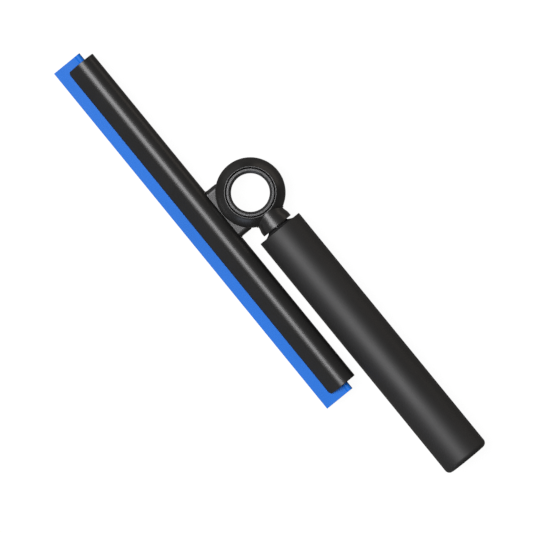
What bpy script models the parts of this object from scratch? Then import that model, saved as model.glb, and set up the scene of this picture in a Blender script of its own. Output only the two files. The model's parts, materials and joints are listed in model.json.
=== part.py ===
"""Window cleaning squeegee with a folding, swivelling handle.

The squeegee lies flat in its folded pose. A blade channel with a silicone blade carries a flat lug.
The lug turns between the two halves of a round yoke, around a hollow hub that is also the hang hole.
The yoke's neck holds a pin, on which the round handle swivels about its own axis.

Lengths are in metres. Inside the design they are measured from the centre of the hub:
+X runs along the handle, +Y away from the blade, +Z along the hub's axis. An empty places that
centre so that the origin is at the middle of the bottom of the whole squeegee's box.
"""

import math

import bmesh
import bpy

MM = 0.001
GAP = 0.3 * MM

# Blade and channel
BLADE_LENGTH = 250 * MM
BLADE_EDGE_Y = -44.6 * MM
BLADE_THICKNESS = 1.5 * MM
BEAD_Y = -27.65 * MM
BEAD_RADIUS = 1.95 * MM
CHANNEL_LENGTH = 240 * MM
CHANNEL_RADIUS = 7.7 * MM
LIP_RADIUS = 2.3 * MM
LIP_Y = -35.8 * MM
LIP_CORNER_RADIUS = 2.2 * MM

# Lug that joins the channel to the hub
LUG_HALF_WIDTH = 16.15 * MM
LUG_HALF_THICKNESS = 3.0 * MM
LUG_EDGE_ROUNDING = 2.0 * MM
LUG_FOOT_Y = -24.4 * MM

# Yoke: two plates round the hub, a neck along +X
YOKE_RADIUS = 20.4 * MM
YOKE_HALF_HEIGHT = 9.2 * MM
CREST_INNER = 14.6 * MM
CREST_OUTER = 15.2 * MM
LEDGE_INNER = 19.1 * MM
LEDGE_OUTER = 19.4 * MM
LEDGE_Z = 4.85 * MM
RIM_CHAMFER = 0.3 * MM
WEB_OVERLAP = 0.5 * MM
NECK_RADIUS = 9.1 * MM
NECK_START_X = 15.0 * MM
NECK_FLARE_X = 18.8 * MM
NECK_RIM_RADIUS = 9.9 * MM
NECK_RIM_X = 23.0 * MM
NECK_END_X = 24.6 * MM
NECK_RECESS_RADIUS = 7.0 * MM
NECK_RECESS_X = 23.7 * MM

# Hub
HOLE_RADIUS = 11.3 * MM
HUB_RADIUS = 12.6 * MM
FLANGE_RADIUS = 13.9 * MM
FLANGE_THICKNESS = 1.7 * MM
FLANGE_CHAMFER = 1.0 * MM
FLANGE_Z = 9.0 * MM
EDGE_BREAK = 0.2 * MM
HUB_SPIGOT_RADIUS = 11.95 * MM
HUB_SPIGOT_LENGTH = 5.0 * MM
FLANGE_SEAT_Z = 5.9 * MM

# Friction washers of the fold
WASHER_INNER = 13.2 * MM
WASHER_OUTER = 16.0 * MM
WASHER_THICKNESS = 0.8 * MM
SPRING_THICKNESS = 0.35 * MM

# Swivel between yoke and handle
PIN_RADIUS = 3.0 * MM
PIN_HEAD_RADIUS = 5.2 * MM
PIN_HEAD_X = 17.5 * MM
PIN_HEAD_THICKNESS = 1.9 * MM
PIN_END_X = 48 * MM
PIN_CHAMFER = 0.5 * MM
BUSH_RADIUS = 4.1 * MM
THRUST_RADIUS = 5.7 * MM
THRUST_THICKNESS = 0.4 * MM
COLLAR_RADIUS = 6.7 * MM
COLLAR_FLARE_RADIUS = 9.7 * MM
COLLAR_STRAIGHT = 0.6 * MM
COLLAR_END_X = 27.0 * MM

# Handle
HANDLE_RADIUS = 14.35 * MM
HANDLE_START_X = 27.3 * MM
HANDLE_END_X = 199 * MM
HANDLE_END_ROUNDING = 3.0 * MM
SLEEVE_BORE = 11.5 * MM
SLEEVE_END_THICKNESS = 3.0 * MM
CORE_RADIUS = 11.2 * MM
CORE_BORE = 9.2 * MM
PLUG_FLANGE = 3.0 * MM
PLUG_LENGTH = 22.7 * MM
NUT_SEAT_X = 42 * MM
NUT_RADIUS = 5.1 * MM
NUT_THICKNESS = 4.0 * MM
PIN_WASHER_THICKNESS = 0.8 * MM
END_PLUG_LENGTH = 12 * MM
GRUB_X = 36 * MM
GRUB_RADIUS = 1.5 * MM
GRUB_LOW_Z = 5.0 * MM
GRUB_HIGH_Z = 11.0 * MM

# Screws, driven from below
SCREW_RADIUS = 0.9 * MM
SCREW_HEAD_RADIUS = 1.6 * MM
SCREW_HEAD_THICKNESS = 1.2 * MM
SCREW_HEAD_CHAMFER = 0.4 * MM
RECESS_LENGTH = 0.9 * MM
RECESS_WIDTH = 0.22 * MM
RECESS_DEPTH = 0.6 * MM
YOKE_SCREW_PLACES = ((21.5 * MM, -6.2 * MM), (21.5 * MM, 6.2 * MM))
YOKE_SCREW_SEAT_Z = -3.4 * MM
YOKE_SCREW_TOP_Z = 3.6 * MM
BRACKET_SCREW_PLACES = ((-10 * MM, -22.3 * MM), (10 * MM, -22.3 * MM))
BRACKET_SCREW_SEAT_Z = -4.2 * MM
BRACKET_SCREW_TOP_Z = 1.8 * MM

RING_STEPS = 48
ROD_STEPS = 32
SMALL_STEPS = 16
FAR = 40 * MM
HALF_GAP = GAP / 2

HUB_CENTRE = (
    -(HANDLE_END_X - BLADE_LENGTH / 2) / 2,
    -(YOKE_RADIUS + BLADE_EDGE_Y) / 2,
    HANDLE_RADIUS,
)

LYING = (0, 0, 0)
ALONG_X = (0, math.pi / 2, 0)
CROSS_SECTION = (math.pi / 2, 0, math.pi / 2)


def clear_scene():
    for obj in list(bpy.data.objects):
        bpy.data.objects.remove(obj)


def new_collection(name):
    collection = bpy.data.collections.new(name)
    bpy.context.scene.collection.children.link(collection)
    return collection


def material(name, colour, roughness, metallic=0.0):
    made = bpy.data.materials.new(name)
    made.use_nodes = True
    shader = made.node_tree.nodes["Principled BSDF"]
    shader.inputs["Base Color"].default_value = (*colour, 1.0)
    shader.inputs["Roughness"].default_value = roughness
    shader.inputs["Metallic"].default_value = metallic
    return made


def arc(centre, radius, start, end, steps):
    """Points of an arc in the plane, with its angles in degrees."""
    angles = [math.radians(start + (end - start) * i / steps) for i in range(steps + 1)]
    return [(centre[0] + radius * math.cos(a), centre[1] + radius * math.sin(a)) for a in angles]


class Builder:
    """Makes named objects in one collection, under one empty."""

    def __init__(self, parts, cutters):
        self.parts = parts
        self.cutters = cutters
        self.parent = None

    def empty(self, name, place, parent=None):
        made = bpy.data.objects.new(name, None)
        made.location = place
        made.parent = parent
        made.empty_display_size = 10 * MM
        self.parts.objects.link(made)
        return made

    def place(self, name, mesh, rotation, location, finish):
        made = bpy.data.objects.new(name, mesh)
        made.rotation_euler = rotation
        made.location = location
        made.parent = self.parent
        if finish is None:
            self.cutters.objects.link(made)
            made.hide_render = True
            made.display_type = "WIRE"
        else:
            self.parts.objects.link(made)
            mesh.materials.append(finish)
        return made

    def turned(self, name, profile, finish=None, rotation=LYING, closed=False, steps=RING_STEPS):
        """A profile of (radius, height) points turned about the height axis.

        It runs down the outer side, and a closed one returns up the inner side.
        """
        mesh = bpy.data.meshes.new(name)
        count = len(profile)
        edges = [(i, i + 1) for i in range(count - 1)]
        if closed:
            edges.append((count - 1, 0))
        mesh.from_pydata([(r, 0, h) for r, h in profile], edges, [])
        made = self.place(name, mesh, rotation, (0, 0, 0), finish)
        screw = made.modifiers.new("turn", "SCREW")
        screw.steps = steps
        screw.render_steps = steps
        screw.use_merge_vertices = True
        screw.merge_threshold = 0.00001
        screw.use_smooth_shade = True
        return made

    def extruded(self, name, outline, low, high, finish=None, rotation=LYING):
        """A flat outline, given counter-clockwise, extruded along its normal from low to high."""
        shape = bmesh.new()
        face = shape.faces.new([shape.verts.new((x, y, low)) for x, y in outline])
        grown = bmesh.ops.extrude_face_region(shape, geom=[face])
        top = [v for v in grown["geom"] if isinstance(v, bmesh.types.BMVert)]
        bmesh.ops.translate(shape, verts=top, vec=(0, 0, high - low))
        bmesh.ops.recalc_face_normals(shape, faces=shape.faces)
        mesh = bpy.data.meshes.new(name)
        shape.to_mesh(mesh)
        shape.free()
        return self.place(name, mesh, rotation, (0, 0, 0), finish)

    def rod(self, name, radius, low, high, finish=None, rotation=LYING, at=(0, 0), steps=SMALL_STEPS):
        """A round bar from low to high along its axis, which stands at a point of the plane."""
        shape = bmesh.new()
        bmesh.ops.create_cone(
            shape, cap_ends=True, segments=steps, radius1=radius, radius2=radius, depth=high - low
        )
        bmesh.ops.translate(shape, verts=shape.verts, vec=(at[0], at[1], (low + high) / 2))
        mesh = bpy.data.meshes.new(name)
        shape.to_mesh(mesh)
        shape.free()
        return self.place(name, mesh, rotation, (0, 0, 0), finish)

    def box(self, name, low, high, finish=None):
        """An upright box between two corners."""
        shape = bmesh.new()
        bmesh.ops.create_cube(shape, size=1)
        for vertex in shape.verts:
            for axis in range(3):
                vertex.co[axis] = low[axis] if vertex.co[axis] < 0 else high[axis]
        mesh = bpy.data.meshes.new(name)
        shape.to_mesh(mesh)
        shape.free()
        return self.place(name, mesh, LYING, (0, 0, 0), finish)


def boolean(target, other, operation="DIFFERENCE"):
    step = target.modifiers.new(operation.lower(), "BOOLEAN")
    step.operation = operation
    step.solver = "EXACT"
    step.object = other


def bevel(target, width, segments, angle=60):
    step = target.modifiers.new("edges", "BEVEL")
    step.width = width
    step.segments = segments
    step.limit_method = "ANGLE"
    step.angle_limit = math.radians(angle)


def flipped(profile):
    """The profile mirrored in height, in the order that keeps its outer side running down."""
    return [(r, -h) for r, h in reversed(profile)]


# The head: channel, blade and lug


def channel_outline():
    """Cross-section (Y, Z): a teardrop whose lips part round a slot that ends in the bead's bore."""
    slot = BLADE_THICKNESS / 2 + GAP
    bore = BEAD_RADIUS + GAP + 0.05 * MM
    flank = math.degrees(math.acos((CHANNEL_RADIUS - LIP_RADIUS) / (BEAD_Y - LIP_Y)))
    tangent = 180 - flank
    lip_end = 180 - math.degrees(math.asin(slot / LIP_RADIUS))
    bore_end = 180 - math.degrees(math.asin(slot / bore))
    lip, bead = (LIP_Y, 0), (BEAD_Y, 0)
    outline = arc(lip, LIP_RADIUS, lip_end, tangent, 3)
    outline += arc(bead, CHANNEL_RADIUS, tangent, -tangent, 28)
    outline += arc(lip, LIP_RADIUS, -tangent, -lip_end, 3)
    outline += arc(bead, bore, -bore_end, bore_end, 14)
    return outline


def lip_corner_outline(side):
    """What is cut off the plan of a lip's corner, to leave a rounded one."""
    front = LIP_Y - LIP_RADIUS
    centre = (side * (CHANNEL_LENGTH / 2 - LIP_CORNER_RADIUS), front + LIP_CORNER_RADIUS)
    end = side * CHANNEL_LENGTH / 2
    outline = arc(centre, LIP_CORNER_RADIUS, 270, 270 + side * 90, 5)
    outline += [(end + side * MM, centre[1]), (end + side * MM, front - MM), (centre[0], front - MM)]
    return outline


def make_channel(b, finish):
    half = CHANNEL_LENGTH / 2
    channel = b.extruded("blade_channel", channel_outline(), -half, half, finish, CROSS_SECTION)
    for side in (-1, 1):
        corner = b.extruded(f"cut_lip_corner_{side}", lip_corner_outline(side), -FAR, FAR)
        boolean(channel, corner)
    foot = b.box(
        "cut_lug_foot",
        (-LUG_HALF_WIDTH - GAP, LUG_FOOT_Y - GAP, -LUG_HALF_THICKNESS - GAP),
        (LUG_HALF_WIDTH + GAP, -10 * MM, LUG_HALF_THICKNESS + GAP),
    )
    boolean(channel, foot)
    for number, place in enumerate(BRACKET_SCREW_PLACES, 1):
        hole = b.rod(f"cut_channel_hole_{number}", SCREW_RADIUS + GAP, -FAR, 0, at=place)
        seat = b.rod(
            f"cut_channel_seat_{number}", SCREW_HEAD_RADIUS + GAP, -FAR, BRACKET_SCREW_SEAT_Z, at=place
        )
        boolean(channel, hole)
        boolean(channel, seat)
    return channel


def make_blade(b, finish):
    """Cross-section (Y, Z): a round bead with a flat web that ends in a square edge."""
    web = BLADE_THICKNESS / 2
    meet = 180 - math.degrees(math.asin(web / BEAD_RADIUS))
    outline = [(BLADE_EDGE_Y, web)] + arc((BEAD_Y, 0), BEAD_RADIUS, meet, -meet, 18)
    outline += [(BLADE_EDGE_Y, -web)]
    half = BLADE_LENGTH / 2
    return b.extruded("squeegee_blade", outline, -half, half, finish, CROSS_SECTION)


def make_bracket(b, finish):
    """The lug: a bar with a round end about the hub, and a foot let into the channel's back."""
    outline = arc((0, 0), LUG_HALF_WIDTH, 0, 180, RING_STEPS // 2)
    outline += [(-LUG_HALF_WIDTH, LUG_FOOT_Y), (LUG_HALF_WIDTH, LUG_FOOT_Y)]
    lug = b.extruded("head_bracket", outline, -LUG_HALF_THICKNESS, LUG_HALF_THICKNESS, finish)
    bevel(lug, LUG_EDGE_ROUNDING, 2)
    bore = b.rod("cut_lug_bore", HUB_RADIUS + GAP, -FAR, FAR, steps=RING_STEPS)
    boolean(lug, bore)
    for number, place in enumerate(BRACKET_SCREW_PLACES, 1):
        hole = b.rod(
            f"cut_lug_hole_{number}", SCREW_RADIUS + GAP, -FAR, BRACKET_SCREW_TOP_Z + GAP, at=place
        )
        boolean(lug, hole)
    return lug


def make_screw(b, name, place, seat_z, top_z, finish):
    """A pan-head screw with a cross recess, driven upwards from below its seat."""
    head_top = seat_z - GAP
    head_low = head_top - SCREW_HEAD_THICKNESS
    profile = [
        (0, top_z),
        (SCREW_RADIUS * 0.5, top_z),
        (SCREW_RADIUS, top_z - SCREW_RADIUS),
        (SCREW_RADIUS, head_top),
        (SCREW_HEAD_RADIUS, head_top),
        (SCREW_HEAD_RADIUS, head_low + SCREW_HEAD_CHAMFER),
        (SCREW_HEAD_RADIUS - SCREW_HEAD_CHAMFER, head_low),
        (0, head_low),
    ]
    screw = b.turned(name, profile, finish, steps=SMALL_STEPS)
    screw.location = (place[0], place[1], 0)
    arms = ((RECESS_LENGTH, RECESS_WIDTH), (RECESS_WIDTH, RECESS_LENGTH))
    for number, (wide, deep) in enumerate(arms, 1):
        recess = b.box(
            f"cut_{name}_recess_{number}",
            (place[0] - wide, place[1] - deep, head_low - MM),
            (place[0] + wide, place[1] + deep, head_low + RECESS_DEPTH),
        )
        boolean(screw, recess)
    return screw


# The yoke and its hub


def plate_profile():
    """Upper plate (radius, height): crest, outer slope with a narrow ledge, flat underside, flange seat."""
    under = LUG_HALF_THICKNESS + GAP
    return [
        (CREST_OUTER, YOKE_HALF_HEIGHT),
        (LEDGE_INNER, LEDGE_Z),
        (LEDGE_OUTER, LEDGE_Z),
        (YOKE_RADIUS, under + RIM_CHAMFER),
        (YOKE_RADIUS, under),
        (HUB_RADIUS + GAP, under),
        (HUB_RADIUS + GAP, FLANGE_SEAT_Z),
        (CREST_INNER, FLANGE_SEAT_Z),
        (CREST_INNER, YOKE_HALF_HEIGHT - EDGE_BREAK),
        (CREST_INNER + EDGE_BREAK, YOKE_HALF_HEIGHT),
    ]


def neck_profile():
    """Neck (radius, distance along X), which swells softly into a wider rim at its free end."""
    flare = []
    steps = 4
    for i in range(steps, -1, -1):
        t = i / steps
        rise = t * t * (3 - 2 * t)
        radius = NECK_RADIUS + (NECK_RIM_RADIUS - NECK_RADIUS) * rise
        flare.append((radius, NECK_FLARE_X + (NECK_RIM_X - NECK_FLARE_X) * t))
    return [
        (0, NECK_END_X),
        (NECK_RIM_RADIUS, NECK_END_X),
        *flare,
        (NECK_RADIUS, NECK_START_X),
        (0, NECK_START_X),
    ]


def pin_cavity_profile():
    """The hollow in the neck for the pin's head and bush, with a recess that the collar enters."""
    head_radius = PIN_HEAD_RADIUS + GAP
    head_end = PIN_HEAD_X + PIN_HEAD_THICKNESS + GAP
    beyond = NECK_END_X + 5 * MM
    return [
        (0, beyond),
        (NECK_RECESS_RADIUS, beyond),
        (NECK_RECESS_RADIUS, NECK_RECESS_X),
        (BUSH_RADIUS + GAP, NECK_RECESS_X),
        (BUSH_RADIUS + GAP, head_end),
        (head_radius, head_end),
        (head_radius, PIN_HEAD_X - GAP),
        (0, PIN_HEAD_X - GAP),
    ]


def make_yoke_half(b, side, finish):
    """One half of the clamshell: a plate round the hub, half the web and half the neck."""
    name = "yoke_upper" if side > 0 else "yoke_lower"
    profile = plate_profile() if side > 0 else flipped(plate_profile())
    half = b.turned(name, profile, finish, closed=True)

    neck = b.turned(f"join_neck_{name}", neck_profile(), rotation=ALONG_X, steps=ROD_STEPS)
    boolean(half, neck, "UNION")

    chord_x = LUG_HALF_WIDTH + GAP
    reach = math.degrees(math.acos(chord_x / YOKE_RADIUS))
    web_outline = arc((0, 0), YOKE_RADIUS, -reach, reach, 12)
    web_inside = LUG_HALF_THICKNESS + GAP + WEB_OVERLAP
    web = b.extruded(f"join_web_{name}", web_outline, -web_inside, web_inside)
    boolean(half, web, "UNION")

    other_side = sorted((side * HALF_GAP, -side * FAR))
    far_half = b.box(f"cut_half_{name}", (-FAR, -FAR, other_side[0]), (FAR, FAR, other_side[1]))
    boolean(half, far_half)

    lug_room = LUG_HALF_THICKNESS + GAP
    lug_slot = b.box(f"cut_slot_{name}", (-FAR, -FAR, -lug_room), (chord_x, FAR, lug_room))
    boolean(half, lug_slot)

    recess = lug_room + WASHER_THICKNESS + GAP
    washer = b.rod(f"cut_washer_{name}", WASHER_OUTER + GAP, -recess, recess, steps=RING_STEPS)
    boolean(half, washer)

    cavity = b.turned(f"cut_pin_{name}", pin_cavity_profile(), rotation=ALONG_X, steps=ROD_STEPS)
    boolean(half, cavity)

    for number, place in enumerate(YOKE_SCREW_PLACES, 1):
        hole = b.rod(
            f"cut_{name}_hole_{number}", SCREW_RADIUS + GAP, -FAR, YOKE_SCREW_TOP_Z + GAP, at=place
        )
        boolean(half, hole)
        if side < 0:
            seat = b.rod(
                f"cut_{name}_seat_{number}", SCREW_HEAD_RADIUS + GAP, -FAR, YOKE_SCREW_SEAT_Z, at=place
            )
            boolean(half, seat)
    return half


def make_hub_upper(b, finish):
    """A flanged sleeve whose thinner end enters the lower sleeve."""
    flange_low = FLANGE_Z - FLANGE_THICKNESS
    profile = [
        (FLANGE_RADIUS - EDGE_BREAK, FLANGE_Z),
        (FLANGE_RADIUS, FLANGE_Z - EDGE_BREAK),
        (FLANGE_RADIUS, flange_low),
        (HUB_RADIUS, flange_low),
        (HUB_RADIUS, HALF_GAP),
        (HUB_SPIGOT_RADIUS, HALF_GAP),
        (HUB_SPIGOT_RADIUS, -HUB_SPIGOT_LENGTH),
        (HOLE_RADIUS, -HUB_SPIGOT_LENGTH),
        (HOLE_RADIUS, FLANGE_Z - FLANGE_CHAMFER),
        (HOLE_RADIUS + FLANGE_CHAMFER, FLANGE_Z),
    ]
    return b.turned("hub_upper", profile, finish, closed=True)


def make_hub_lower(b, finish):
    """The lower sleeve, counterbored for the upper one."""
    seat = -FLANGE_SEAT_Z - GAP
    profile = [
        (HUB_RADIUS, -HALF_GAP),
        (HUB_RADIUS, seat),
        (FLANGE_RADIUS, seat),
        (FLANGE_RADIUS, EDGE_BREAK - FLANGE_Z),
        (FLANGE_RADIUS - EDGE_BREAK, -FLANGE_Z),
        (HOLE_RADIUS + FLANGE_CHAMFER, -FLANGE_Z),
        (HOLE_RADIUS, FLANGE_CHAMFER - FLANGE_Z),
        (HOLE_RADIUS, -HUB_SPIGOT_LENGTH - GAP),
        (HUB_SPIGOT_RADIUS + GAP, -HUB_SPIGOT_LENGTH - GAP),
        (HUB_SPIGOT_RADIUS + GAP, -HALF_GAP),
    ]
    return b.turned("hub_lower", profile, finish, closed=True)


def make_preload_spring(b, finish):
    """A disc spring under the upper flange, which presses the friction washers on the lug."""
    inner, outer = HUB_RADIUS + GAP, FLANGE_RADIUS
    low = FLANGE_SEAT_Z + HALF_GAP
    high = FLANGE_Z - FLANGE_THICKNESS - HALF_GAP
    profile = [
        (outer, low + SPRING_THICKNESS),
        (outer, low),
        (inner, high - SPRING_THICKNESS),
        (inner, high),
    ]
    return b.turned("preload_spring", profile, finish, closed=True)


def make_friction_washer(b, side, finish):
    low = LUG_HALF_THICKNESS + GAP
    high = low + WASHER_THICKNESS
    profile = [(WASHER_OUTER, high), (WASHER_OUTER, low), (WASHER_INNER, low), (WASHER_INNER, high)]
    name = "friction_washer_upper" if side > 0 else "friction_washer_lower"
    return b.turned(name, profile if side > 0 else flipped(profile), finish, closed=True)


# The swivel and the handle


def sleeve(b, name, outer, inner, start, end, finish):
    """A plain ring or tube along the handle's axis."""
    profile = [(outer, end), (outer, start), (inner, start), (inner, end)]
    return b.turned(name, profile, finish, ALONG_X, closed=True, steps=ROD_STEPS)


def make_swivel_pin(b, finish):
    head_end = PIN_HEAD_X + PIN_HEAD_THICKNESS
    profile = [
        (0, PIN_END_X),
        (PIN_RADIUS - PIN_CHAMFER, PIN_END_X),
        (PIN_RADIUS, PIN_END_X - PIN_CHAMFER),
        (PIN_RADIUS, head_end),
        (PIN_HEAD_RADIUS, head_end),
        (PIN_HEAD_RADIUS, PIN_HEAD_X),
        (0, PIN_HEAD_X),
    ]
    return b.turned("swivel_pin", profile, finish, ALONG_X, steps=ROD_STEPS)


def make_collar(b, finish):
    """A ferrule that flares from the neck's recess to the handle's front in a shallow hollow curve."""
    start = NECK_RECESS_X + THRUST_THICKNESS + 2 * HALF_GAP
    straight = start + COLLAR_STRAIGHT
    rise = COLLAR_FLARE_RADIUS - COLLAR_RADIUS
    run = COLLAR_END_X - straight
    steps = 6
    flare = []
    for i in range(steps, -1, -1):
        t = i / steps
        flare.append((COLLAR_RADIUS + rise * (t + t * t) / 2, straight + run * t))
    profile = flare + [
        (COLLAR_RADIUS, start),
        (PIN_RADIUS + GAP, start),
        (PIN_RADIUS + GAP, COLLAR_END_X),
    ]
    return b.turned("collar", profile, finish, ALONG_X, closed=True, steps=ROD_STEPS)


def make_front_plug(b, finish):
    """A flanged plug in the core tube's front end, bored for the pin and counterbored for its nut."""
    flange_end = HANDLE_START_X + PLUG_FLANGE
    plug_end = HANDLE_START_X + PLUG_LENGTH
    body_radius = CORE_BORE - GAP
    nut_room = NUT_RADIUS + GAP
    profile = [
        (body_radius, plug_end),
        (body_radius, flange_end),
        (CORE_RADIUS, flange_end),
        (CORE_RADIUS, HANDLE_START_X),
        (PIN_RADIUS + GAP, HANDLE_START_X),
        (PIN_RADIUS + GAP, NUT_SEAT_X),
        (nut_room, NUT_SEAT_X),
        (nut_room, plug_end),
    ]
    plug = b.turned("front_plug", profile, finish, ALONG_X, closed=True, steps=ROD_STEPS)
    hole = b.rod("cut_plug_grub", GRUB_RADIUS + GAP, GRUB_LOW_Z - GAP, FAR, at=(GRUB_X, 0))
    boolean(plug, hole)
    return plug


def make_core_tube(b, finish):
    start = HANDLE_START_X + PLUG_FLANGE + GAP
    end = HANDLE_END_X - SLEEVE_END_THICKNESS - PLUG_FLANGE - 2 * GAP
    tube = sleeve(b, "core_tube", CORE_RADIUS, CORE_BORE, start, end, finish)
    hole = b.rod("cut_tube_grub", GRUB_RADIUS + GAP, GRUB_LOW_Z - GAP, FAR, at=(GRUB_X, 0))
    boolean(tube, hole)
    return tube


def make_end_plug(b, finish):
    end = HANDLE_END_X - SLEEVE_END_THICKNESS - GAP
    flange_start = end - PLUG_FLANGE
    start = end - END_PLUG_LENGTH
    profile = [
        (0, end),
        (CORE_RADIUS, end),
        (CORE_RADIUS, flange_start),
        (CORE_BORE - GAP, flange_start),
        (CORE_BORE - GAP, start),
        (0, start),
    ]
    return b.turned("end_plug", profile, finish, ALONG_X, steps=ROD_STEPS)


def make_grip_sleeve(b, finish):
    """The soft outer sleeve, closed and rounded at its far end."""
    fillet_x = HANDLE_END_X - HANDLE_END_ROUNDING
    fillet_r = HANDLE_RADIUS - HANDLE_END_ROUNDING
    profile = [(0, HANDLE_END_X)]
    for r, x in arc((fillet_r, fillet_x), HANDLE_END_ROUNDING, 90, 0, 5):
        profile.append((r, x))
    profile += [
        (HANDLE_RADIUS, HANDLE_START_X),
        (SLEEVE_BORE, HANDLE_START_X),
        (SLEEVE_BORE, HANDLE_END_X - SLEEVE_END_THICKNESS),
        (0, HANDLE_END_X - SLEEVE_END_THICKNESS),
    ]
    return b.turned("grip_sleeve", profile, finish, ALONG_X)


def make_nut(b, finish):
    """A hexagonal lock nut on the pin."""
    start = NUT_SEAT_X + PIN_WASHER_THICKNESS + 2 * GAP
    end = start + NUT_THICKNESS
    nut = b.rod("pin_nut", NUT_RADIUS, start, end, finish, ALONG_X, steps=6)
    bore = b.rod("cut_nut_bore", PIN_RADIUS + GAP, -FAR, 3 * FAR, rotation=ALONG_X)
    boolean(nut, bore)
    return nut


def smooth_round_pieces(parts):
    for made in parts.objects:
        if made.type == "MESH":
            made.data.shade_smooth()
            made.data.set_sharp_from_angle(angle=math.radians(35))


def build():
    clear_scene()
    parts = new_collection("window_squeegee")
    cutters = new_collection("cutters")
    b = Builder(parts, cutters)

    satin_black = material("satin_black_plastic", (0.03, 0.03, 0.031), 0.34)
    soft_black = material("soft_black_grip", (0.027, 0.026, 0.026), 0.62)
    blue = material("blue_silicone", (0.04, 0.2, 0.72), 0.5)
    hub_grey = material("satin_grey_hub", (0.06, 0.06, 0.062), 0.3)
    dark_metal = material("polished_dark_metal", (0.09, 0.09, 0.095), 0.14, 1.0)
    steel = material("plain_steel", (0.56, 0.57, 0.58), 0.3, 1.0)
    natural = material("natural_nylon", (0.62, 0.6, 0.55), 0.45)
    grey_core = material("grey_core_plastic", (0.2, 0.2, 0.21), 0.5)

    hinge = b.empty("hinge_axis", HUB_CENTRE)
    head = b.empty("head_pivot", (0, 0, 0), hinge)
    swivel = b.empty("swivel_axis", (PIN_HEAD_X, 0, 0), hinge)
    swivel_parts = b.empty("handle_frame", (-PIN_HEAD_X, 0, 0), swivel)

    b.parent = head
    make_channel(b, satin_black)
    make_blade(b, blue)
    make_bracket(b, satin_black)
    for number, place in enumerate(BRACKET_SCREW_PLACES, 1):
        name = f"bracket_screw_{number}"
        make_screw(b, name, place, BRACKET_SCREW_SEAT_Z, BRACKET_SCREW_TOP_Z, steel)

    b.parent = hinge
    make_yoke_half(b, 1, satin_black)
    make_yoke_half(b, -1, satin_black)
    for number, place in enumerate(YOKE_SCREW_PLACES, 1):
        make_screw(b, f"yoke_screw_{number}", place, YOKE_SCREW_SEAT_Z, YOKE_SCREW_TOP_Z, steel)
    make_hub_upper(b, hub_grey)
    make_hub_lower(b, hub_grey)
    make_preload_spring(b, steel)
    for side in (1, -1):
        make_friction_washer(b, side, natural)
    bush_start = PIN_HEAD_X + PIN_HEAD_THICKNESS + GAP
    sleeve(b, "swivel_bush", BUSH_RADIUS, PIN_RADIUS + GAP, bush_start, NECK_RECESS_X - HALF_GAP, natural)
    thrust_start = NECK_RECESS_X + HALF_GAP
    thrust_end = thrust_start + THRUST_THICKNESS
    sleeve(b, "thrust_washer", THRUST_RADIUS, PIN_RADIUS + GAP, thrust_start, thrust_end, steel)

    b.parent = swivel_parts
    make_swivel_pin(b, steel)
    make_collar(b, dark_metal)
    make_front_plug(b, grey_core)
    make_core_tube(b, grey_core)
    washer_start = NUT_SEAT_X + GAP
    washer_end = washer_start + PIN_WASHER_THICKNESS
    sleeve(b, "pin_washer", NUT_RADIUS, PIN_RADIUS + GAP, washer_start, washer_end, steel)
    make_nut(b, steel)
    b.rod("plug_screw", GRUB_RADIUS, GRUB_LOW_Z, GRUB_HIGH_Z, steel, at=(GRUB_X, 0))
    make_end_plug(b, grey_core)
    make_grip_sleeve(b, soft_black)

    smooth_round_pieces(parts)


build()
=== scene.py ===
import json
import math
from collections import namedtuple

import bmesh
import bpy
from mathutils import Matrix, Vector


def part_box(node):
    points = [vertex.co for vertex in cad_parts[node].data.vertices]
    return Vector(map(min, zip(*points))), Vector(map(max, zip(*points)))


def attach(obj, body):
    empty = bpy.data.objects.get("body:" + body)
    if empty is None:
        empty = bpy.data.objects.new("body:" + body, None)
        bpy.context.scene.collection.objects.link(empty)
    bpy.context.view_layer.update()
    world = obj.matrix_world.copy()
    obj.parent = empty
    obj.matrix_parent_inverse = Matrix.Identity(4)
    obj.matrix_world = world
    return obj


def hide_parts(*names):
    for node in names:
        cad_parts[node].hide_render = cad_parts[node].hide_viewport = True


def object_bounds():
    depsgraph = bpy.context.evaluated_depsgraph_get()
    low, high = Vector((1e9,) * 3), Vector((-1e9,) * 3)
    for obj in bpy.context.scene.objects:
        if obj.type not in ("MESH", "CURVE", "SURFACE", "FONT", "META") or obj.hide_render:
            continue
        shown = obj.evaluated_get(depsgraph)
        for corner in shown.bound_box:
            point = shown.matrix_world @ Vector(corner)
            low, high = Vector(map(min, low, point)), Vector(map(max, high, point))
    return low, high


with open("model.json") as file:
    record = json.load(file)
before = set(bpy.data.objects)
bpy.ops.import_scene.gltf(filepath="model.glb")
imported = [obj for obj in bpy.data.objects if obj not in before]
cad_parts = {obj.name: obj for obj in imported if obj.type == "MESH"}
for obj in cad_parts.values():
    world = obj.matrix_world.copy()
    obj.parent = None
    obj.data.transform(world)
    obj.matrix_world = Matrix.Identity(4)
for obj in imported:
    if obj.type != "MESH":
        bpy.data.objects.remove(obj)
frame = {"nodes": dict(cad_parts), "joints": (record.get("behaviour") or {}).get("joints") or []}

CAD_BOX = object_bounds()

MM = 0.001
RING_STEPS = 160

JOINTS = {joint["name"]: joint for joint in frame["joints"]}
HUB = Vector(JOINTS["fold_hinge"]["pos_m"])


def from_hub(node):
    """A CAD node's box, measured from the hub's centre in millimetres."""
    low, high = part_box(node)
    return (low - HUB) / MM, (high - HUB) / MM


BLADE_LOW, BLADE_HIGH = from_hub("squeegee_blade")
CHANNEL_LOW, CHANNEL_HIGH = from_hub("blade_channel")
LUG_LOW, LUG_HIGH = from_hub("head_bracket")
YOKE_LOW, YOKE_HIGH = from_hub("yoke_upper")
HUB_HIGH = from_hub("hub_upper")[1]
COLLAR_LOW, COLLAR_HIGH = from_hub("collar")
PLUG_HIGH = from_hub("front_plug")[1]
GRIP_LOW, GRIP_HIGH = from_hub("grip_sleeve")

# Shapes of the pieces, in millimetres from the hub's centre

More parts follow.
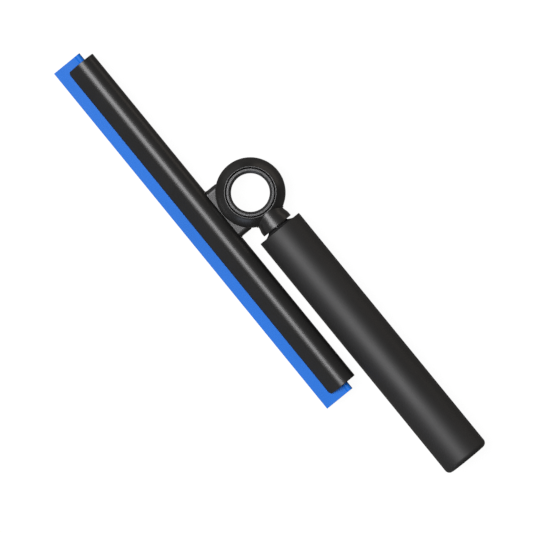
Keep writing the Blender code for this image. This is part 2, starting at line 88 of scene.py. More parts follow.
# Blade and channel
BEAD_RADIUS = BLADE_HIGH.z
BLADE_HALF_THICKNESS = 0.75
CHANNEL_RADIUS = CHANNEL_HIGH.z
CHANNEL_CENTRE_Y = CHANNEL_HIGH.y - CHANNEL_RADIUS
LIP_RADIUS = 2.3
LIP_CENTRE_Y = -35.9
LIP_CORNER_RADIUS = 1.7

# Lug
LUG_HALF_WIDTH = LUG_HIGH.x
LUG_HALF_THICKNESS = LUG_HIGH.z
LUG_FOOT_WIDENING = 0.45
LUG_ROUNDING = 2.75

# Yoke: its slope drops by SLOPE_START for each millimetre at the crest, and by more further out
YOKE_RADIUS = -YOKE_LOW.x
CREST_Z = YOKE_HIGH.z
CREST_INNER = 14.6
CREST_OUTER = 15.1
SLOPE_START = 0.675
SLOPE_GROWTH = 0.073
PLATE_UNDER_Z = LUG_HALF_THICKNESS + 0.3
WASHER_SEAT_RADIUS = 16.3
WASHER_SEAT_Z = PLATE_UNDER_Z + 1.1
FLANGE_SEAT_RADIUS = 13.9
FLANGE_SEAT_Z = 5.9
SEAM = 0.15
NECK_RADIUS = 9.1
NECK_START_X = 15.0
NECK_END_X = YOKE_HIGH.x + 0.3

# Hub
FLANGE_RADIUS = HUB_HIGH.x
FLANGE_Z = HUB_HIGH.z
HUB_TUBE_RADIUS = 12.6
HOLE_RADIUS = 11.22
HOLE_CHAMFER = 1.4

# Screws, with their heads below
SCREW_GAP = 0.3
SCREW_HEAD_HEIGHT = 1.2
SCREW_HEAD_ROOM = 1.9
SCREW_SHANK_ROOM = 1.2

# Handle
HANDLE_START_X = GRIP_LOW.x - 0.5
GRIP_RADIUS = GRIP_HIGH.y

# Cutters start and end well past what they cut
DRILL_START_Z = -20
CUT_REACH = 10
CUT_FAR = 40

SHARP_ANGLE = 32

ScrewPlace = namedtuple("ScrewPlace", "x y seat_z tip_z")


def screw_places(names):
    """Where the CAD screws are: their axes, the seats of their heads and their tips."""
    places = []
    for name in names:
        low, high = from_hub(name)
        seat_z = low.z + SCREW_HEAD_HEIGHT + SCREW_GAP
        places.append(ScrewPlace((low.x + high.x) / 2, (low.y + high.y) / 2, seat_z, high.z))
    return places


YOKE_SCREW_NAMES = ("yoke_screw_1", "yoke_screw_2")
BRACKET_SCREW_NAMES = ("bracket_screw_1", "bracket_screw_2")
YOKE_SCREWS = screw_places(YOKE_SCREW_NAMES)
BRACKET_SCREWS = screw_places(BRACKET_SCREW_NAMES)


# Outlines


def arc(centre, radius, start, end, steps):
    """Points of an arc, with its angles in degrees."""
    angles = [math.radians(start + (end - start) * i / steps) for i in range(steps + 1)]
    return [(centre[0] + radius * math.cos(a), centre[1] + radius * math.sin(a)) for a in angles]


def filleted(corners, closed=True, steps=5):
    """A polyline of (x, y, radius) corners. A quadratic curve rounds each corner by about its radius."""
    points = []
    count = len(corners)
    for i, (x, y, radius) in enumerate(corners):
        inner = closed or 0 < i < count - 1
        if radius <= 0 or not inner:
            points.append((x, y))
            continue
        here = Vector((x, y))
        back = Vector(corners[i - 1][:2]) - here
        ahead = Vector(corners[(i + 1) % count][:2]) - here
        turn = back.angle(ahead)
        cut = min(radius / math.tan(turn / 2), 0.49 * back.length, 0.49 * ahead.length)
        start = here + back.normalized() * cut
        end = here + ahead.normalized() * cut
        for k in range(steps + 1):
            t = k / steps
            points.append(tuple((1 - t) ** 2 * start + 2 * t * (1 - t) * here + t * t * end))
    return points


# Mesh building


def new_object(name, shape):
    bmesh.ops.recalc_face_normals(shape, faces=shape.faces)
    mesh = bpy.data.meshes.new(name)
    shape.to_mesh(mesh)
    shape.free()
    made = bpy.data.objects.new(name, mesh)
    bpy.context.scene.collection.objects.link(made)
    return made


def apply_modifiers(made):
    graph = bpy.context.evaluated_depsgraph_get()
    mesh = bpy.data.meshes.new_from_object(made.evaluated_get(graph))
    made.modifiers.clear()
    made.data = mesh


def settle(made, sharp=SHARP_ANGLE):
    """Puts a piece at the hub's place in metres and shades it smooth, with its flats kept flat."""
    mesh = made.data
    mesh.transform(Matrix.Translation(HUB) @ Matrix.Scale(MM, 4))
    mesh.shade_smooth()
    mesh.set_sharp_from_angle(angle=math.radians(sharp))
    normals = made.modifiers.new("normals", "WEIGHTED_NORMAL")
    normals.keep_sharp = True
    apply_modifiers(made)
    return made


def turned(name, profile, along_x=False, steps=RING_STEPS):
    """A profile of (radius, height) turned about the height axis. Points on the axis close it."""
    shape = bmesh.new()
    rings = []
    for radius, height in profile:
        count = 1 if radius < 1e-6 else steps
        ring = []
        for i in range(count):
            turn = 2 * math.pi * i / steps
            across, up = radius * math.cos(turn), radius * math.sin(turn)
            place = (height, across, up) if along_x else (across, up, height)
            ring.append(shape.verts.new(place))
        rings.append(ring)
    pairs = list(zip(rings, rings[1:]))
    if len(rings[0]) > 1:
        pairs.append((rings[-1], rings[0]))
    for one, other in pairs:
        for i in range(steps):
            j = (i + 1) % steps
            corners = [one[i % len(one)], one[j % len(one)], other[j % len(other)], other[i % len(other)]]
            unique = list(dict.fromkeys(corners))
            if len(unique) > 2:
                shape.faces.new(unique)
    return new_object(name, shape)


def stacked(name, loops):
    """Loops of equally many points, joined in order, with the first and last one closed."""
    shape = bmesh.new()
    rings = [[shape.verts.new(place) for place in loop] for loop in loops]
    for one, other in zip(rings, rings[1:]):
        for i in range(len(one)):
            j = (i + 1) % len(one)
            shape.faces.new([one[i], one[j], other[j], other[i]])
    shape.faces.new(rings[0])
    shape.faces.new(rings[-1])
    return new_object(name, shape)


def prism(name, outline, low, high):
    """A plan (X, Y) with a height."""
    return stacked(name, [[(x, y, z) for x, y in outline] for z in (low, high)])


def run_along_x(name, outline, low, high, rounding, rows=24):
    """A cross-section (Y, Z) run along X. outline(inset) draws it smaller for the rounded ends."""
    steps = 4
    sections = []
    for i in range(steps + 1):
        turn = math.radians(90 * i / steps)
        sections.append((rounding * (1 - math.cos(turn)), rounding * (1 - math.sin(turn))))
    sections.append((2 * rounding, 0.0))
    start = [(low + x, inset) for x, inset in sections]
    end = [(high - x, inset) for x, inset in reversed(sections)]
    inner_low, inner_high = start[-1][0], end[0][0]
    middle = [(inner_low + (inner_high - inner_low) * i / rows, 0.0) for i in range(1, rows)]
    return stacked(name, [[(x, y, z) for y, z in outline(i)] for x, i in start + middle + end])


def combine(made, other, operation):
    """A Boolean with another object, which is then removed."""
    step = made.modifiers.new("combine", "BOOLEAN")
    step.operation = operation
    step.object = other
    apply_modifiers(made)
    bpy.data.objects.remove(other)


def cut(made, other):
    combine(made, other, "DIFFERENCE")


def join(made, other):
    combine(made, other, "UNION")


def block(low, high):
    """A box to cut with, between two opposite corners."""
    corners = [(low[0], low[1]), (high[0], low[1]), (high[0], high[1]), (low[0], high[1])]
    return prism("cut", corners, low[2], high[2])


def rod(radius, low, high, at=(0, 0), steps=48):
    """An upright round bar to cut with."""
    made = turned("cut", [(0, low), (radius, low), (radius, high), (0, high)], steps=steps)
    made.data.transform(Matrix.Translation((at[0], at[1], 0)))
    return made


def drill(made, place, radius, top):
    """A screw's hole, from below the piece up to a height."""
    cut(made, rod(radius, DRILL_START_Z, top, (place.x, place.y)))


# Materials


class Shader:
    """A material's node tree, with short calls for its nodes."""

    def __init__(self, name):
        self.material = bpy.data.materials.new(name)
        self.material.use_nodes = True
        self.tree = self.material.node_tree
        self.surface = self.tree.nodes["Principled BSDF"]
        self.place = self.node("ShaderNodeTexCoord").outputs["Object"]

    def node(self, kind, **settings):
        made = self.tree.nodes.new(kind)
        for key, value in settings.items():
            setattr(made, key, value)
        return made

    def link(self, source, target):
        self.tree.links.new(source, target)

    def noise(self, scale, detail=3.0, roughness=0.5, stretch=None):
        made = self.node("ShaderNodeTexNoise")
        made.inputs["Scale"].default_value = scale
        made.inputs["Detail"].default_value = detail
        made.inputs["Roughness"].default_value = roughness
        self.link(self.stretched(stretch), made.inputs["Vector"])
        return made.outputs["Fac"]

    def cells(self, scale):
        made = self.node("ShaderNodeTexVoronoi")
        made.inputs["Scale"].default_value = scale
        self.link(self.place, made.inputs["Vector"])
        return made.outputs["Distance"]

    def stretched(self, stretch):
        if stretch is None:
            return self.place
        mapping = self.node("ShaderNodeMapping")
        mapping.inputs["Scale"].default_value = stretch
        self.link(self.place, mapping.inputs["Vector"])
        return mapping.outputs["Vector"]

    def between(self, value, low, high, out_low, out_high):
        made = self.node("ShaderNodeMapRange")
        numbers = {"From Min": low, "From Max": high, "To Min": out_low, "To Max": out_high}
        for key, number in numbers.items():
            made.inputs[key].default_value = number
        self.link(value, made.inputs["Value"])
        return made.outputs["Result"]

    def math(self, operation, first, second):
        made = self.node("ShaderNodeMath", operation=operation)
        for socket, value in zip(made.inputs, (first, second)):
            if isinstance(value, (int, float)):
                socket.default_value = value
            else:
                self.link(value, socket)
        return made.outputs["Value"]

    def mix(self, factor, first, second):
        made = self.node("ShaderNodeMix", data_type="RGBA")
        self.link(factor, made.inputs["Factor"])
        for name, value in (("A", first), ("B", second)):
            socket = [s for s in made.inputs if s.name == name and s.type == "RGBA"][0]
            if isinstance(value, tuple):
                socket.default_value = (*value, 1.0)
            else:
                self.link(value, socket)
        return [s for s in made.outputs if s.type == "RGBA"][0]

    def edges(self, radius, low, high):
        """0 on flat surfaces and 1 on rounded-over edges."""
        soft = self.node("ShaderNodeBevel", samples=4)
        soft.inputs["Radius"].default_value = radius
        true = self.node("ShaderNodeNewGeometry").outputs["Normal"]
        dot = self.node("ShaderNodeVectorMath", operation="DOT_PRODUCT")
        self.link(soft.outputs["Normal"], dot.inputs[0])
        self.link(true, dot.inputs[1])
        return self.between(dot.outputs["Value"], low, high, 1.0, 0.0)

    def bump(self, height, depth, under=None):
        made = self.node("ShaderNodeBump")
        made.inputs["Distance"].default_value = depth
        self.link(height, made.inputs["Height"])
        if under is not None:
            self.link(under, made.inputs["Normal"])
        return made.outputs["Normal"]

    def finish(self, colour=None, roughness=None, normal=None, **values):
        sockets = self.surface.inputs
        for key, value in (("Base Color", colour), ("Roughness", roughness), ("Normal", normal)):
            if value is not None:
                self.link(value, sockets[key])
        for key, value in values.items():
            sockets[key.replace("_", " ")].default_value = value
        return self.material


def shade(colour, factor):
    return tuple(min(1.0, c * factor) for c in colour)


def moulded_plastic(name, colour, roughness, wear=1.4, specular=0.54):
    """Satin moulded plastic: fine spark-eroded grain, faint flow mottling, edges polished by use."""
    s = Shader(name)
    mottled = s.noise(55, 4, 0.6)
    fine = s.noise(900, 2, 0.5)
    base = s.mix(s.between(mottled, 0.3, 0.7, 0, 1), shade(colour, 0.9), shade(colour, 1.1))
    edge = s.edges(0.35 * MM, 0.9, 0.995)
    worn = s.math("MULTIPLY", edge, s.between(s.noise(260, 4, 0.6), 0.42, 0.62, 0.15, 0.7))
    base = s.mix(worn, base, shade(colour, wear))
    rough = s.between(s.math("ADD", mottled, fine), 0.6, 1.4, roughness - 0.012, roughness + 0.012)
    rough = s.math("SUBTRACT", rough, s.math("MULTIPLY", worn, 0.08))
    normal = s.bump(s.noise(4200, 2, 0.55), 0.0007 * MM)
    return s.finish(base, rough, normal, Specular_IOR_Level=specular)


def soft_grip(name, colour):
    """Soft-touch rubber: a pebble grain, faint handling marks along the handle, fine pale specks."""
    s = Shader(name)
    smudge = s.noise(22, 5, 0.62, (0.6, 1.4, 1.4))
    base = s.mix(s.between(smudge, 0.35, 0.68, 0, 1), shade(colour, 0.92), shade(colour, 1.1))
    dust = s.between(s.cells(2600), 0.0, 0.09, 1.0, 0.0)
    base = s.mix(s.math("MULTIPLY", dust, 0.12), base, shade(colour, 2.4))
    rough = s.between(smudge, 0.3, 0.7, 0.5, 0.58)
    pebble = s.cells(1500)
    normal = s.bump(pebble, 0.012 * MM)
    normal = s.bump(s.noise(5200, 2, 0.6), 0.008 * MM, normal)
    return s.finish(base, rough, normal, Specular_IOR_Level=0.48, Sheen_Weight=0.03, Sheen_Roughness=0.4)


def silicone(name, colour):
    """Smooth silicone: an even colour with slight clouding, and faint wiping marks along its length."""
    s = Shader(name)
    cloud = s.noise(30, 4, 0.55, (0.5, 2.0, 1.0))
    base = s.mix(s.between(cloud, 0.3, 0.7, 0, 1), shade(colour, 0.96), shade(colour, 1.04))
    wiped = s.noise(240, 3, 0.5, (0.12, 1.0, 1.0))
    rough = s.between(wiped, 0.3, 0.7, 0.34, 0.42)
    normal = s.bump(s.noise(1800, 3, 0.5, (0.4, 1.0, 1.0)), 0.006 * MM)
    return s.finish(base, rough, normal, Specular_IOR_Level=0.12)


def metal(name, colour, roughness, turned_about="z", metallic=1.0):
    """Metal with fine turning lines round its axis and a little dulling."""
    s = Shader(name)
    stretch = (9.0, 1.0, 1.0) if turned_about == "x" else (1.0, 1.0, 9.0)
    lines = s.noise(2400, 2, 0.5, stretch)
    dull = s.noise(180, 4, 0.6)
    base = s.mix(s.between(dull, 0.3, 0.7, 0, 1), shade(colour, 0.9), shade(colour, 1.08))
    rough = s.between(dull, 0.3, 0.7, roughness - 0.03, roughness + 0.06)
    return s.finish(base, rough, s.bump(lines, 0.0015 * MM), Metallic=metallic)


# Dressing of the pieces


def dress(made, finish, body, node):
    """Gives a piece its material and its place in the frame under its body, and hides the CAD node it
    shows.
    """
    made.data.materials.clear()
    made.data.materials.append(finish)
    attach(made, body)
    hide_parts(node)


def repaint(names, finish):
    """CAD nodes that stay as they are get a fuller material."""
    for name in names:
        node = frame["nodes"][name]
        node.data.materials.clear()
        node.data.materials.append(finish)
        node.data.shade_smooth()
        node.data.set_sharp_from_angle(angle=math.radians(SHARP_ANGLE))


# Pieces of the head


def channel_outline(inset):
    """Cross-section (Y, Z): a teardrop whose lips part round a slot that ends in the bead's bore."""
    half_slot = BLADE_HALF_THICKNESS + 0.1
    bore = BEAD_RADIUS + 0.15
    spread = CHANNEL_CENTRE_Y - LIP_CENTRE_Y
    tangent = 180 - math.degrees(math.acos((CHANNEL_RADIUS - LIP_RADIUS) / spread))
    lip_radius = LIP_RADIUS - inset
    lip_end = 180 - math.degrees(math.asin(half_slot / lip_radius))
    bore_end = 180 - math.degrees(math.asin(half_slot / bore))
    lip, centre = (LIP_CENTRE_Y, 0), (CHANNEL_CENTRE_Y, 0)
    outline = arc(lip, lip_radius, lip_end, tangent, 10)
    outline += arc(centre, CHANNEL_RADIUS - inset, tangent, -tangent, 110)
    outline += arc(lip, lip_radius, -tangent, -lip_end, 10)
    outline += arc(centre, bore, -bore_end, bore_end, 40)
    return outline


def lip_corner(side):
    """A cutter that rounds the lips' corner at one end of the channel."""
    radius = LIP_CORNER_RADIUS
    front = CHANNEL_LOW.y
    end = side * CHANNEL_HIGH.x
    inner = end - side * radius
    outline = arc((inner, front + radius), radius, 270, 270 + side * 90, 12)
    outline += [(end + side, front + radius), (end + side, front - 1), (inner, front - 1)]
    return prism("cut", outline, -CUT_REACH, CUT_REACH)


def make_channel(finish):
    made = run_along_x("blade_channel_body", channel_outline, CHANNEL_LOW.x, CHANNEL_HIGH.x, 0.25)
    for side in (-1, 1):
        cut(made, lip_corner(side))
    width = LUG_HALF_WIDTH + LUG_FOOT_WIDENING + 0.1
    height = LUG_HALF_THICKNESS + 0.08
    cut(made, block((-width, LUG_LOW.y - 0.1, -height), (width, 0, height)))
    for place in BRACKET_SCREWS:
        drill(made, place, SCREW_HEAD_ROOM, place.seat_z)
        drill(made, place, SCREW_SHANK_ROOM, 0)
    dress(settle(made), finish, "head", "blade_channel")


def blade_outline(inset):
    """Cross-section (Y, Z): a round bead and a flat web that is cut square at the working edge."""
    web = BLADE_HALF_THICKNESS - inset
    bead = BEAD_RADIUS - inset
    edge = BLADE_LOW.y + inset
    bevel = 0.1
    meet = 180 - math.degrees(math.asin(web / bead))
    outline = [(edge + bevel, web), (edge + 1.0, web)]
    outline += arc((CHANNEL_CENTRE_Y, 0), bead, meet, -meet, 60)
    outline += [(edge + 1.0, -web), (edge + bevel, -web), (edge, -web + bevel), (edge, web - bevel)]
    return outline


def make_blade(finish):
    made = run_along_x("squeegee_blade_body", blade_outline, BLADE_LOW.x, BLADE_HIGH.x, 0.1)
    dress(settle(made), finish, "head", "squeegee_blade")


def lug_outline(inset):
    """Plan of the lug: round end, straight sides, a wider foot, a small flare at the channel's back."""
    width = LUG_HALF_WIDTH - inset
    foot_width = width + LUG_FOOT_WIDENING
    flare_start = -18.4
    flare_length = 1.5
    flare_width = 0.4
    flare_steps = 8
    right = [(width, -12.0), (foot_width, -12.8)]
    for i in range(flare_steps + 1):
        t = i / flare_steps
        right.append((foot_width + flare_width * t ** 3, flare_start - flare_length * t))
    right += [(foot_width, -20.2), (foot_width, LUG_LOW.y)]
    left = [(-x, y) for x, y in right]
    return arc((0, 0), width, 0, 180, 96) + left + list(reversed(right))


def make_lug(finish):
    """The flat lug, with rounded edges and a narrow flat rim round the top face that shades it flat."""
    steps = 7
    flat_rim = 0.2
    levels = [(LUG_ROUNDING + flat_rim, LUG_HALF_THICKNESS)]
    for i in range(steps + 1):
        turn = math.radians(90 * i / steps)
        inset = LUG_ROUNDING * (1 - math.sin(turn))
        levels.append((inset, LUG_HALF_THICKNESS - LUG_ROUNDING * (1 - math.cos(turn))))
    levels += [(inset, -z) for inset, z in reversed(levels)]
    made = stacked("head_bracket_body", [[(x, y, z) for x, y in lug_outline(i)] for i, z in levels])
    cut(made, rod(HUB_TUBE_RADIUS + 0.2, -CUT_REACH, CUT_REACH, steps=RING_STEPS))
    for place in BRACKET_SCREWS:
        drill(made, place, SCREW_SHANK_ROOM, place.tip_z + SCREW_GAP)
    dress(settle(made), finish, "head", "head_bracket")


# Pieces of the yoke


def slope_drop(out):
    """How far the upper plate's slope has dropped at a distance outside the crest."""
    return SLOPE_START * out + SLOPE_GROWTH * out * out


def slope_reach(z):
    """How far out the upper plate's slope is at a height, where the neck meets it."""
    drop = CREST_Z - abs(z)
    root = math.sqrt(SLOPE_START ** 2 + 4 * SLOPE_GROWTH * drop)
    return min(YOKE_RADIUS, CREST_OUTER + (root - SLOPE_START) / (2 * SLOPE_GROWTH))


def plate_profile():
    """Upper plate: crest, crowned outer slope, rim, washer's seat, flange's seat, groove, crest."""
    steps = 14
    hub_side = HUB_TUBE_RADIUS + 0.25
    groove_top = 7.3
    corners = [(CREST_OUTER, CREST_Z, 0.25)]
    for i in range(1, steps):
        out = (YOKE_RADIUS - CREST_OUTER) * i / steps
        corners.append((CREST_OUTER + out, CREST_Z - slope_drop(out), 0))
    corners += [
        (YOKE_RADIUS, PLATE_UNDER_Z + 0.25, 0.2),
        (YOKE_RADIUS, PLATE_UNDER_Z, 0.12),
        (WASHER_SEAT_RADIUS, PLATE_UNDER_Z, 0),
        (WASHER_SEAT_RADIUS, WASHER_SEAT_Z, 0),
        (hub_side, WASHER_SEAT_Z, 0),
        (hub_side, FLANGE_SEAT_Z, 0),
        (FLANGE_SEAT_RADIUS, FLANGE_SEAT_Z, 0.1),
        (CREST_INNER, groove_top, 0),
        (CREST_INNER, CREST_Z, 0.15),
    ]
    return filleted(corners)


def neck_profile():
    """Rows along the neck: x, radius, and how much it widens sideways towards its rim."""
    rows = 64
    pitch = 0.15
    widening = 0.8
    widening_start = 18.8
    widening_length = 4.2
    rounding = 0.3
    profile = []
    for i in range(rows):
        x = NECK_START_X + pitch * i
        rise = max(0.0, min(1.0, (x - widening_start) / widening_length))
        profile.append((x, NECK_RADIUS, widening * rise * rise * (3 - 2 * rise)))
    for radius, x in arc((NECK_RADIUS - rounding, NECK_END_X - rounding), rounding, 0, 90, 5):
        profile.append((x, radius, widening))
    return profile


def neck_blend(x, y, z):
    """How much the neck swells where it leaves the plates' slope."""
    height = 0.75
    reach = 1.7
    end_x = 18.5
    if x >= end_x:
        return 0.0
    meet = math.sqrt(max(0.0, slope_reach(z) ** 2 - y * y))
    near = max(0.0, min(1.0, 1 - (x - meet) / reach))
    return height * near ** 2.5 * max(0.0, 1 - (z / NECK_RADIUS) ** 2) ** 2


def neck_solid():
    """The neck, almost as tall as the crest."""
    steps = 128
    taller = (CREST_Z - 0.02) / NECK_RADIUS
    loops = []
    for x, radius, widening in neck_profile():
        loop = []
        for i in range(steps):
            turn = 2 * math.pi * i / steps
            grown = radius + neck_blend(x, radius * math.cos(turn), radius * math.sin(turn))
            loop.append((x, (grown + widening) * math.cos(turn), taller * grown * math.sin(turn)))
        loops.append(loop)
    return stacked("neck", loops)


def web_solid(chord):
    """The web between the plates beside the neck, cut off straight in front of the lug."""
    half_height = 3.8
    reach = math.degrees(math.acos(chord / YOKE_RADIUS))
    return prism("web", arc((0, 0), YOKE_RADIUS, -reach, reach, 48), -half_height, half_height)


def pin_room():
    """A cutter for the neck's inside: the collar's recess, the bush's bore, the room for the pin's head."""
    recess_radius = 7.0
    recess_x = 23.7
    bush_bore = 4.4
    head_room = 5.5
    head_seat_x = 19.7
    head_end_x = 17.2
    open_x = 30
    profile = [
        (0, open_x),
        (recess_radius, open_x),
        (recess_radius, recess_x),
        (bush_bore, recess_x),
        (bush_bore, head_seat_x),
        (head_room, head_seat_x),
        (head_room, head_end_x),
        (0, head_end_x),
    ]
    return turned("cut", profile, along_x=True, steps=64)


def make_yoke_half(side, finish):
    """Upper half for side 1, lower half for side -1, with a thin seam between them."""
    name = "yoke_upper" if side > 0 else "yoke_lower"
    chord = LUG_HALF_WIDTH + 0.15
    made = turned(name + "_body", [(radius, side * z) for radius, z in plate_profile()])
    join(made, neck_solid())
    join(made, web_solid(chord))

    low, high = sorted((side * SEAM * 0.4, -side * CUT_FAR))
    cut(made, block((-CUT_FAR, -CUT_FAR, low), (CUT_FAR, CUT_FAR, high)))
    cut(made, block((-CUT_FAR, -CUT_FAR, -PLATE_UNDER_Z), (chord, CUT_FAR, PLATE_UNDER_Z)))
    cut(made, rod(WASHER_SEAT_RADIUS, -WASHER_SEAT_Z, WASHER_SEAT_Z, steps=RING_STEPS))
    cut(made, pin_room())
    for place in YOKE_SCREWS:
        if side < 0:
            drill(made, place, SCREW_HEAD_ROOM, place.seat_z)
        drill(made, place, SCREW_SHANK_ROOM, place.tip_z + SCREW_GAP)
    dress(settle(made, 28), finish, "yoke", name)


def make_hub(finish):
    """Two flanged sleeves. The upper one's spigot enters the lower one's socket."""
    meeting_z = SEAM * 0.5
    spigot_radius = 11.95
    spigot_end_z = -5.0
    socket_radius = 12.0
    socket_end_z = -5.1
    upper_flange_z = FLANGE_Z - 1.7
    lower_flange_z = -6.2
    mouth_radius = HOLE_RADIUS + HOLE_CHAMFER
    mouth_z = FLANGE_Z - HOLE_CHAMFER
    upper = [
        (FLANGE_RADIUS, FLANGE_Z, 0.25),
        (FLANGE_RADIUS, upper_flange_z, 0.1),
        (HUB_TUBE_RADIUS, upper_flange_z, 0),
        (HUB_TUBE_RADIUS, meeting_z, 0),
        (spigot_radius, meeting_z, 0),
        (spigot_radius, spigot_end_z, 0),
        (HOLE_RADIUS, spigot_end_z, 0),
        (HOLE_RADIUS, mouth_z, 0.3),
        (mouth_radius, FLANGE_Z, 0.12),
    ]
    lower = [
        (HUB_TUBE_RADIUS, -meeting_z, 0),
        (HUB_TUBE_RADIUS, lower_flange_z, 0),
        (FLANGE_RADIUS, lower_flange_z, 0.1),
        (FLANGE_RADIUS, -FLANGE_Z, 0.25),
        (mouth_radius, -FLANGE_Z, 0.12),
        (HOLE_RADIUS, -mouth_z, 0.3),
        (HOLE_RADIUS, socket_end_z, 0.05),
        (socket_radius, socket_end_z, 0),
        (socket_radius, -meeting_z, 0),
    ]
    for name, corners in (("hub_upper", upper), ("hub_lower", lower)):
        made = turned(name + "_body", filleted(corners))
        dress(settle(made), finish, "yoke", name)


# Screws of the head and the yoke


def make_screw(name, place, body, finish):
    """A pan-head screw with a cross recess, put in from below."""
    shank = 0.9
    tip = 0.35
    head = 1.6
    bearing_z = place.seat_z - 0.05
    end_z = bearing_z - SCREW_HEAD_HEIGHT
    recess_z = bearing_z - 0.55
    corners = [
        (0, place.tip_z, 0),
        (tip, place.tip_z, 0),
        (shank, place.tip_z - 0.8, 0),
        (shank, bearing_z, 0),
        (head, bearing_z, 0.1),
        (head, end_z, 0.55),
        (0, end_z, 0),
    ]
    made = turned(name + "_body", filleted(corners, closed=False), steps=48)
    for wide, deep in ((0.95, 0.2), (0.2, 0.95)):
        cut(made, block((-wide, -deep, bearing_z - 3), (wide, deep, recess_z)))
    made.data.transform(Matrix.Translation((place.x, place.y, 0)))
    dress(settle(made), finish, body, name)


# Pieces of the handle


def make_collar(finish):
    """A polished ferrule that flares in a shallow hollow curve up to the front plug."""
    start = COLLAR_LOW.x
    end = HANDLE_START_X - 0.02
    flare_start = start + 0.6
    bore = 3.2
    inner = 6.7
    outer = COLLAR_HIGH.y + 0.25
    bevel = 0.15
    steps = 24
    flare = []
    for i in range(steps + 1):
        t = i / steps
        flare.append((inner + (outer - inner) * (t + t * t) / 2, flare_start + (end - flare_start) * t))
    profile = [(bore, start), (inner - bevel, start), (inner, start + bevel)] + flare + [(bore, end)]
    made = turned("collar_body", profile, along_x=True)
    dress(settle(made), finish, "handle", "collar")


def make_front_plug(finish):
    """The plug in the handle's front, with a flange as wide as the core tube.

    Its bore is plain: the CAD's counterbore for the nut and hole for the screw are left out.
    """
    start = HANDLE_START_X
    end = PLUG_HIGH.x
    flange_end = start + 3.0
    bore = 3.3
    body_radius = 8.9
    corners = [
        (bore, start, 0),
        (PLUG_HIGH.y, start, 0.2),
        (PLUG_HIGH.y, flange_end, 0),
        (body_radius, flange_end, 0),
        (body_radius, end, 0),
        (bore, end, 0),
    ]
    made = turned("front_plug_body", filleted(corners), along_x=True, steps=96)
    dress(settle(made), finish, "handle", "front_plug")


def make_grip(finish):
    """The soft sleeve: crisp front edge, rounded and closed far end."""
    end_rounding = 3.0
    edge_rounding = 0.35
    bore = 11.4
    bevel = 0.15
    rows = 40
    front = HANDLE_START_X
    back = GRIP_HIGH.x
    side_start = front + edge_rounding
    side_end = back - end_rounding
    profile = [(0, back)] + arc((GRIP_RADIUS - end_rounding, side_end), end_rounding, 90, 0, 14)
    for i in range(1, rows):
        profile.append((GRIP_RADIUS, side_end + (side_start - side_end) * i / rows))
    profile += arc((GRIP_RADIUS - edge_rounding, side_start), edge_rounding, 0, -90, 5)
    profile += [(bore + bevel, front), (bore, front + bevel), (bore, side_end), (0, side_end)]
    made = turned("grip_sleeve_body", profile, along_x=True)
    dress(settle(made), finish, "handle", "grip_sleeve")


# Putting together


def make_object():
    black = (0.0168, 0.0163, 0.0157)
    plastic = moulded_plastic("satin_black_plastic", black, 0.31)
    head_plastic = moulded_plastic("satin_black_channel", black, 0.31, specular=0.45)
    # The hub's plastic is a lighter copy of the black plastic: painted light, standing in for the bright
    # look its flat face takes from the key light.
    hub_plastic = moulded_plastic("satin_grey_hub", (0.03, 0.03, 0.03), 0.29, wear=1.2)
    grip = soft_grip("soft_black_grip", (0.015, 0.0146, 0.0143))
    blue = silicone("blue_silicone", (0.0105, 0.145, 0.59))
    dark_metal = metal("polished_dark_metal", (0.2, 0.2, 0.205), 0.27, turned_about="x", metallic=0.88)
    steel = metal("plain_steel", (0.5, 0.51, 0.52), 0.3)
    nylon = moulded_plastic("natural_nylon", (0.6, 0.58, 0.52), 0.45, wear=1.05)
    core = moulded_plastic("grey_core_plastic", (0.02, 0.02, 0.02), 0.45)

    make_channel(head_plastic)
    make_blade(blue)
    make_lug(plastic)
    for name, place in zip(BRACKET_SCREW_NAMES, BRACKET_SCREWS):
        make_screw(name, place, "head", steel)
    for side in (1, -1):
        make_yoke_half(side, plastic)
    for name, place in zip(YOKE_SCREW_NAMES, YOKE_SCREWS):
        make_screw(name, place, "yoke", steel)
    make_hub(hub_plastic)
    make_collar(dark_metal)
    make_front_plug(core)
    make_grip(grip)
    repaint(("preload_spring", "thrust_washer", "swivel_pin", "pin_washer", "pin_nut", "plug_screw"), steel)
    repaint(("friction_washer_upper", "friction_washer_lower", "swivel_bush"), nylon)
    repaint(("core_tube", "end_plug"), core)


# Studio

# The camera looks straight down along the hub's axis, with the handle running down to the right
FRAME_WIDTH = 308.3 * MM
AIM = HUB + Vector((39.05, -19.8, 0)) * MM
RIGHT = Vector((0.632, 0.775, 0)).normalized()
UP = Vector((-0.775, 0.632, 0)).normalized()
TOWARDS_CAMERA = Vector((0, 0, 1))
LIGHTS_AIM = HUB + Vector((50, 0, 0)) * MM


def make_camera():
    lens = 600
    data = bpy.data.cameras.new("camera")
    data.lens = lens
    data.sensor_width = 36
    camera = bpy.data.objects.new("camera", data)
    bpy.context.scene.collection.objects.link(camera)
    distance = FRAME_WIDTH * lens / data.sensor_width
    turn = Matrix((RIGHT, UP, TOWARDS_CAMERA)).transposed().to_4x4()
    camera.matrix_world = Matrix.Translation(AIM + TOWARDS_CAMERA * distance) @ turn
    bpy.context.scene.camera = camera


def make_softbox(name, direction, distance, size, radiance, colour=(1, 1, 1)):
    """A rectangular light that faces LIGHTS_AIM from a direction."""
    width, height = size
    data = bpy.data.lights.new(name, "AREA")
    data.shape = "RECTANGLE"
    data.size = width
    data.size_y = height
    data.energy = radiance * math.pi * width * height
    data.color = colour
    lamp = bpy.data.objects.new(name, data)
    bpy.context.scene.collection.objects.link(lamp)
    away = Vector(direction).normalized()
    lamp.location = LIGHTS_AIM + away * distance
    lamp.rotation_euler = away.to_track_quat("Z", "Y").to_euler()


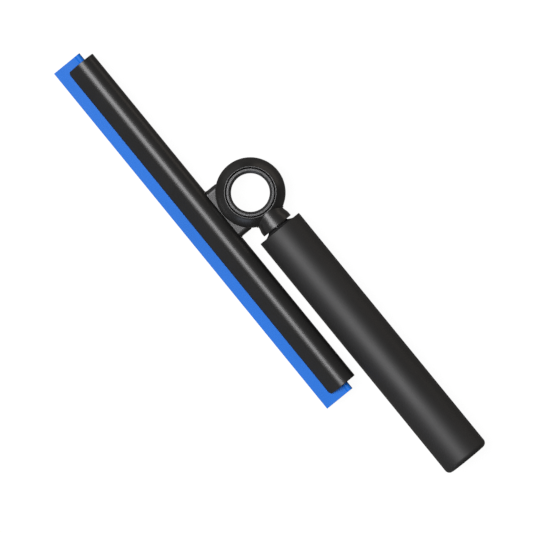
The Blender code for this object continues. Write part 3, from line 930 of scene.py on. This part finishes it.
def stage_plane(name, half_size, drop, finish):
    """A level square a little below the object, which belongs to the studio."""
    shape = bmesh.new()
    bmesh.ops.create_grid(shape, x_segments=1, y_segments=1, size=half_size)
    plane = new_object(name, shape)
    plane.location = (0, 0, CAD_BOX[0].z - drop)
    plane.data.materials.append(finish)
    return plane


def make_floor():
    """A pale light table: it glows evenly, so shadows on it stay faint."""
    s = Shader("pale_floor")
    speckle = s.noise(40, 2, 0.5)
    tone = s.mix(s.between(speckle, 0.3, 0.7, 0, 1), (0.055, 0.055, 0.055), (0.06, 0.06, 0.06))
    glow = {"Emission_Color": (1, 1, 1, 1), "Emission_Strength": 0.95}
    floor = stage_plane("studio_floor", 30, 0.2 * MM, s.finish(tone, Roughness=0.9, **glow))
    floor.visible_glossy = False
    floor.visible_diffuse = False


def make_bounce():
    """The dim light that the floor sends back up to the object's lower sides."""
    s = Shader("floor_bounce")
    glow = {"Emission_Color": (1.0, 0.95, 0.9, 1), "Emission_Strength": 0.17}
    finish = s.finish(Base_Color=(0, 0, 0, 1), Specular_IOR_Level=0, **glow)
    card = stage_plane("studio_bounce", 1.5, 0.1 * MM, finish)
    card.visible_camera = False
    card.visible_shadow = False


def make_studio():
    scene = bpy.context.scene
    scene.view_settings.view_transform = "Standard"
    world = bpy.data.worlds.new("studio")
    scene.world = world
    world.use_nodes = True
    backdrop = world.node_tree.nodes["Background"]
    backdrop.inputs["Color"].default_value = (1, 1, 1, 1)
    backdrop.inputs["Strength"].default_value = 1.0
    world.cycles_visibility.glossy = False
    world.cycles_visibility.diffuse = False
    make_floor()
    make_bounce()
    make_softbox("key", (-0.25, -0.31, 1), 4.0, (2.4, 2.53), 11.2, (0.985, 0.98, 1.0))
    make_softbox("ceiling", (0, 0.3, 1), 2.4, (6, 5), 0.1)
    make_softbox("fill_warm", (-0.2, 1, 0.15), 1.8, (2.4, 0.9), 0.75, (1.0, 0.89, 0.78))
    make_softbox("fill_cool", (0.6, -0.8, 0.17), 1.8, (0.9, 0.42), 2.1, (0.73, 0.82, 1.0))
    make_softbox("fill_left", (-1, -0.1, 0.13), 1.8, (1.6, 0.7), 0.4)
    make_softbox("fill_front", (-0.1, -1, 0.24), 1.8, (1.2, 0.35), 0.4, (0.85, 0.9, 1.0))


make_camera()
make_object()
make_studio()
